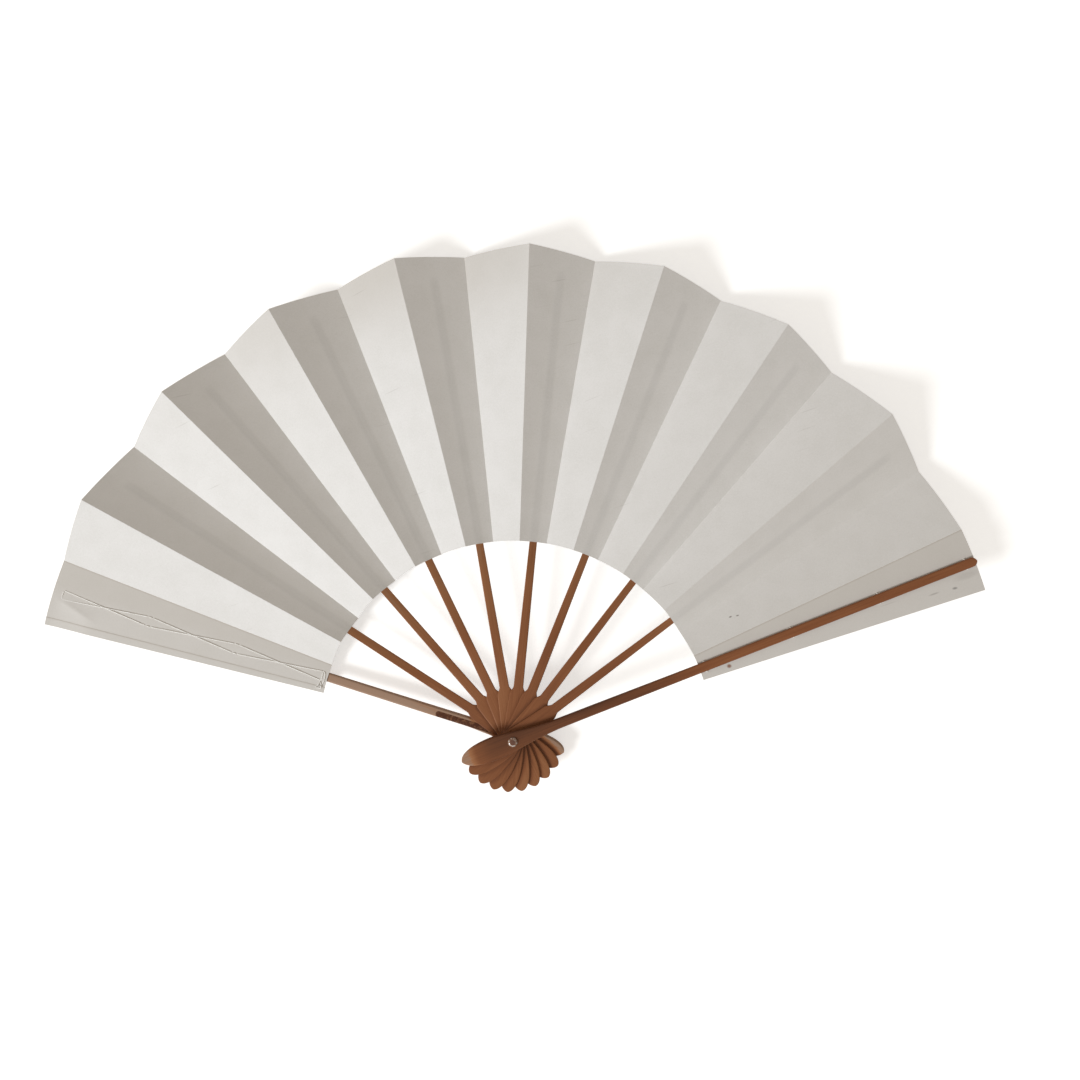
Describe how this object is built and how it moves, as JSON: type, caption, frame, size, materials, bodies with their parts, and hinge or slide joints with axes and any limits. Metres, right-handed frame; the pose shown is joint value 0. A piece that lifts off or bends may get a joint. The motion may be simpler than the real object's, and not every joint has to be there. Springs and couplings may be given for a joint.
{
  "type": "dance fan",
  "caption": "Folding dance fan of bamboo sticks on a rivet, with a pleated white paper leaf laced to weighted guards, shown fully open.",
  "frame": {"origin": "middle of the rivet's flat back face", "axes": "+Z along the rivet towards the front of the fan, +Y along the middle of the open leaf, +X to the viewer's right"},
  "size_m": [0.501, 0.2883, 0.0285],
  "materials": {
    "smoked_bamboo": "smoked bamboo, lightly lacquered",
    "pale_bamboo": "smoked bamboo, paler inner face",
    "leaf_paper": "white fibrous paper, matt",
    "white_thread": "white twisted thread",
    "lead_strip": "dark brown lacquer",
    "rivet_plastic": "clear amber, polished"
  },
  "bodies": {
    "left_guard": {"guard_left": "pale_bamboo", "weight_left": "lead_strip", "leaf_end_left": "leaf_paper", "lacing_left": "white_thread", "rivet": "rivet_plastic"},
    "right_guard": {"guard_right": "smoked_bamboo", "weight_right": "lead_strip", "leaf_end_right": "leaf_paper", "lacing_right": "white_thread"},
    "rib_1": {"rib_1": "smoked_bamboo", "leaf_rib_1": "leaf_paper"},
    "rib_2": {"rib_2": "smoked_bamboo", "leaf_rib_2": "leaf_paper"},
    "rib_3": {"rib_3": "smoked_bamboo", "leaf_rib_3": "leaf_paper"},
    "rib_4": {"rib_4": "smoked_bamboo", "leaf_rib_4": "leaf_paper"},
    "rib_5": {"rib_5": "smoked_bamboo", "leaf_rib_5": "leaf_paper"},
    "rib_6": {"rib_6": "smoked_bamboo", "leaf_rib_6": "leaf_paper"},
    "rib_7": {"rib_7": "smoked_bamboo", "leaf_rib_7": "leaf_paper"},
    "rib_8": {"rib_8": "smoked_bamboo", "leaf_rib_8": "leaf_paper"},
    "fold_1": {"leaf_fold_1": "leaf_paper"},
    "fold_2": {"leaf_fold_2": "leaf_paper"},
    "fold_3": {"leaf_fold_3": "leaf_paper"},
    "fold_4": {"leaf_fold_4": "leaf_paper"},
    "fold_5": {"leaf_fold_5": "leaf_paper"},
    "fold_6": {"leaf_fold_6": "leaf_paper"},
    "fold_7": {"leaf_fold_7": "leaf_paper"},
    "fold_8": {"leaf_fold_8": "leaf_paper"},
    "fold_9": {"leaf_fold_9": "leaf_paper"}
  },
  "joints": [
    {"name": "fan_closing", "type": "hinge", "parent": "left_guard", "child": "right_guard", "pos_m": [0, 0, 0], "axis": [0, 0, 1], "range_deg": [0, 141.3], "deforming": ["leaf_rib_1", "leaf_rib_2", "leaf_rib_3", "leaf_rib_4", "leaf_rib_5", "leaf_rib_6", "leaf_rib_7", "leaf_rib_8", "leaf_fold_1", "leaf_fold_2", "leaf_fold_3", "leaf_fold_4", "leaf_fold_5", "leaf_fold_6", "leaf_fold_7", "leaf_fold_8", "leaf_fold_9"]},
    {"name": "rib_1_turn", "type": "hinge", "parent": "left_guard", "child": "rib_1", "pos_m": [0, 0, 0], "axis": [0, 0, 1], "range_deg": [0, 15.7]},
    {"name": "rib_2_turn", "type": "hinge", "parent": "left_guard", "child": "rib_2", "pos_m": [0, 0, 0], "axis": [0, 0, 1], "range_deg": [0, 31.4]},
    {"name": "rib_3_turn", "type": "hinge", "parent": "left_guard", "child": "rib_3", "pos_m": [0, 0, 0], "axis": [0, 0, 1], "range_deg": [0, 47.1]},
    {"name": "rib_4_turn", "type": "hinge", "parent": "left_guard", "child": "rib_4", "pos_m": [0, 0, 0], "axis": [0, 0, 1], "range_deg": [0, 62.8]},
    {"name": "rib_5_turn", "type": "hinge", "parent": "left_guard", "child": "rib_5", "pos_m": [0, 0, 0], "axis": [0, 0, 1], "range_deg": [0, 78.5]},
    {"name": "rib_6_turn", "type": "hinge", "parent": "left_guard", "child": "rib_6", "pos_m": [0, 0, 0], "axis": [0, 0, 1], "range_deg": [0, 94.2]},
    {"name": "rib_7_turn", "type": "hinge", "parent": "left_guard", "child": "rib_7", "pos_m": [0, 0, 0], "axis": [0, 0, 1], "range_deg": [0, 109.9]},
    {"name": "rib_8_turn", "type": "hinge", "parent": "left_guard", "child": "rib_8", "pos_m": [0, 0, 0], "axis": [0, 0, 1], "range_deg": [0, 125.6]},
    {"name": "fold_1_turn", "type": "hinge", "parent": "left_guard", "child": "fold_1", "pos_m": [0, 0, 0], "axis": [0, 0, 1], "range_deg": [0, 7.85]},
    {"name": "fold_2_turn", "type": "hinge", "parent": "left_guard", "child": "fold_2", "pos_m": [0, 0, 0], "axis": [0, 0, 1], "range_deg": [0, 23.55]},
    {"name": "fold_3_turn", "type": "hinge", "parent": "left_guard", "child": "fold_3", "pos_m": [0, 0, 0], "axis": [0, 0, 1], "range_deg": [0, 39.25]},
    {"name": "fold_4_turn", "type": "hinge", "parent": "left_guard", "child": "fold_4", "pos_m": [0, 0, 0], "axis": [0, 0, 1], "range_deg": [0, 54.95]},
    {"name": "fold_5_turn", "type": "hinge", "parent": "left_guard", "child": "fold_5", "pos_m": [0, 0, 0], "axis": [0, 0, 1], "range_deg": [0, 70.65]},
    {"name": "fold_6_turn", "type": "hinge", "parent": "left_guard", "child": "fold_6", "pos_m": [0, 0, 0], "axis": [0, 0, 1], "range_deg": [0, 86.35]},
    {"name": "fold_7_turn", "type": "hinge", "parent": "left_guard", "child": "fold_7", "pos_m": [0, 0, 0], "axis": [0, 0, 1], "range_deg": [0, 102.05]},
    {"name": "fold_8_turn", "type": "hinge", "parent": "left_guard", "child": "fold_8", "pos_m": [0, 0, 0], "axis": [0, 0, 1], "range_deg": [0, 117.75]},
    {"name": "fold_9_turn", "type": "hinge", "parent": "left_guard", "child": "fold_9", "pos_m": [0, 0, 0], "axis": [0, 0, 1], "range_deg": [0, 133.45]}
  ],
  "couplings": [
    {"joint": "rib_1_turn", "follows": "fan_closing", "ratio": 0.11111},
    {"joint": "rib_2_turn", "follows": "fan_closing", "ratio": 0.22222},
    {"joint": "rib_3_turn", "follows": "fan_closing", "ratio": 0.33333},
    {"joint": "rib_4_turn", "follows": "fan_closing", "ratio": 0.44444},
    {"joint": "rib_5_turn", "follows": "fan_closing", "ratio": 0.55556},
    {"joint": "rib_6_turn", "follows": "fan_closing", "ratio": 0.66667},
    {"joint": "rib_7_turn", "follows": "fan_closing", "ratio": 0.77778},
    {"joint": "rib_8_turn", "follows": "fan_closing", "ratio": 0.88889},
    {"joint": "fold_1_turn", "follows": "fan_closing", "ratio": 0.055556},
    {"joint": "fold_2_turn", "follows": "fan_closing", "ratio": 0.16667},
    {"joint": "fold_3_turn", "follows": "fan_closing", "ratio": 0.27778},
    {"joint": "fold_4_turn", "follows": "fan_closing", "ratio": 0.38889},
    {"joint": "fold_5_turn", "follows": "fan_closing", "ratio": 0.5},
    {"joint": "fold_6_turn", "follows": "fan_closing", "ratio": 0.61111},
    {"joint": "fold_7_turn", "follows": "fan_closing", "ratio": 0.72222},
    {"joint": "fold_8_turn", "follows": "fan_closing", "ratio": 0.83333},
    {"joint": "fold_9_turn", "follows": "fan_closing", "ratio": 0.94444}
  ]
}
